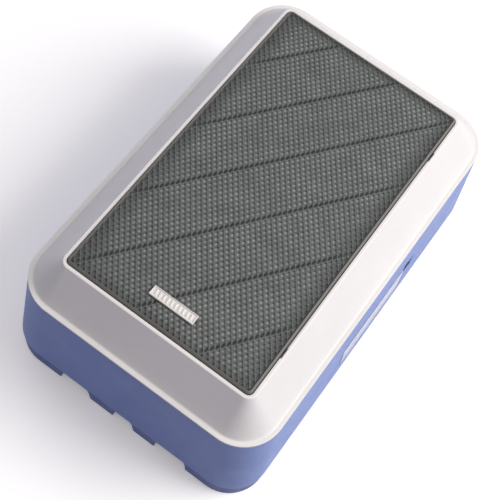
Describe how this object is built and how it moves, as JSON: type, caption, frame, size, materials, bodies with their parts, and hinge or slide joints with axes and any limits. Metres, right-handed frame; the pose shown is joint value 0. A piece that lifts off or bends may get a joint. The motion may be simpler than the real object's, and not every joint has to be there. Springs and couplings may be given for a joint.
{
  "type": "fence energizer",
  "caption": "Wall-hung electric fence energizer: drafted box with a sloping bezel round a woven-look front panel, lead notches, rear wiring bay and keyholes.",
  "frame": {"origin": "centre of the rear plane, where the box rests when it lies on its back or against a wall", "axes": "+Z out of the front panel, +Y towards the top end as hung, +X towards the switch side"},
  "size_m": [0.145, 0.2206, 0.092],
  "materials": {
    "rear_cover_abs": "fine spark texture",
    "shell_abs": "fine spark texture, periwinkle blue",
    "bezel_abs": "fine satin texture, near white",
    "grille_pp": "moulded open weave, dark grey",
    "felt": "black non-woven felt",
    "plate_abs": "satin white",
    "gasket_rubber": "moulded",
    "zinc_steel": "zinc plated",
    "label_film": "blank printed film",
    "black_nylon": "moulded",
    "slider_abs": "moulded, ribbed",
    "tinned_brass": "tin plated",
    "board_laminate": "solder resist",
    "core_steel": "varnished laminations",
    "bobbin_nylon": "natural nylon",
    "copper_wire": "enamelled wire",
    "winding_tape": "polyester tape",
    "capacitor_case": "moulded case",
    "capacitor_sleeve": "shrink sleeve",
    "ferrite": "ground ferrite",
    "chip_epoxy": "moulded epoxy",
    "heat_sink_aluminium": "extruded",
    "resistor_ceramic": "ceramic",
    "varistor_epoxy": "dipped epoxy",
    "fuse_glass": "glass tube with plated caps",
    "led_lens": "diffused epoxy",
    "clear_acrylic": "clear moulding",
    "terminal_brass": "machined",
    "red_knob": "moulded",
    "green_knob": "moulded",
    "red_wire": "insulated wire",
    "green_wire": "insulated wire",
    "black_wire": "insulated wire"
  },
  "bodies": {
    "housing": {"rear_cover": "rear_cover_abs", "terminal_bay": "rear_cover_abs", "body_shell": "shell_abs", "front_bezel": "bezel_abs", "cover_gasket": "gasket_rubber", "case_screws": "zinc_steel", "bezel_screws": "zinc_steel", "rating_label": "label_film", "switch_body": "black_nylon", "switch_contacts": "tinned_brass", "main_board": "board_laminate", "board_screws": "zinc_steel", "pulse_core": "core_steel", "pulse_bobbin": "bobbin_nylon", "primary_winding": "copper_wire", "secondary_winding": "winding_tape", "core_bracket": "zinc_steel", "bracket_screws": "zinc_steel", "storage_capacitor": "capacitor_case", "filter_capacitors": "capacitor_sleeve", "inverter_core": "ferrite", "inverter_winding": "winding_tape", "thyristor": "chip_epoxy", "heat_sink": "heat_sink_aluminium", "heat_sink_screw": "zinc_steel", "control_chip": "chip_epoxy", "power_resistors": "resistor_ceramic", "spark_gap": "varistor_epoxy", "fuse_holder": "tinned_brass", "fuse": "fuse_glass", "pulse_led": "led_lens", "light_pipe": "clear_acrylic", "fence_stud": "terminal_brass", "fence_nut": "zinc_steel", "earth_stud": "terminal_brass", "earth_nut": "zinc_steel", "terminal_lugs": "tinned_brass", "inlet_socket": "black_nylon", "inlet_pin": "tinned_brass", "fence_lead": "red_wire", "earth_lead": "green_wire", "inlet_leads": "red_wire", "switch_leads": "black_wire"},
    "grille": {"grille_panel": "grille_pp", "dust_screen": "felt", "nameplate": "plate_abs"},
    "switch": {"switch_slider": "slider_abs"},
    "fence_clamp": {"fence_washer": "zinc_steel"},
    "fence_turner": {"fence_knob": "red_knob", "fence_insert": "terminal_brass"},
    "earth_clamp": {"earth_washer": "zinc_steel"},
    "earth_turner": {"earth_knob": "green_knob", "earth_insert": "terminal_brass"}
  },
  "joints": [
    {"name": "grille_pull", "type": "slide", "parent": "housing", "child": "grille", "axis": [0, 0, 1], "range_m": [0, 0.02]},
    {"name": "switch_slide", "type": "slide", "parent": "housing", "child": "switch", "axis": [0, 1, 0], "range_m": [0, 0.0032]},
    {"name": "fence_lift", "type": "slide", "parent": "housing", "child": "fence_clamp", "axis": [0, 0, -1], "range_m": [0, 0.003]},
    {"name": "fence_turn", "type": "hinge", "parent": "fence_clamp", "child": "fence_turner", "pos_m": [0.03, -0.088, 0.018], "axis": [0, 0, -1], "range_deg": [0, 1080]},
    {"name": "earth_lift", "type": "slide", "parent": "housing", "child": "earth_clamp", "axis": [0, 0, -1], "range_m": [0, 0.003]},
    {"name": "earth_turn", "type": "hinge", "parent": "earth_clamp", "child": "earth_turner", "pos_m": [-0.029, -0.088, 0.018], "axis": [0, 0, -1], "range_deg": [0, 1080]}
  ],
  "couplings": [
    {"joint": "fence_lift", "follows": "fence_turn", "m_per_rad": 0.000159},
    {"joint": "earth_lift", "follows": "earth_turn", "m_per_rad": 0.000159}
  ]
}
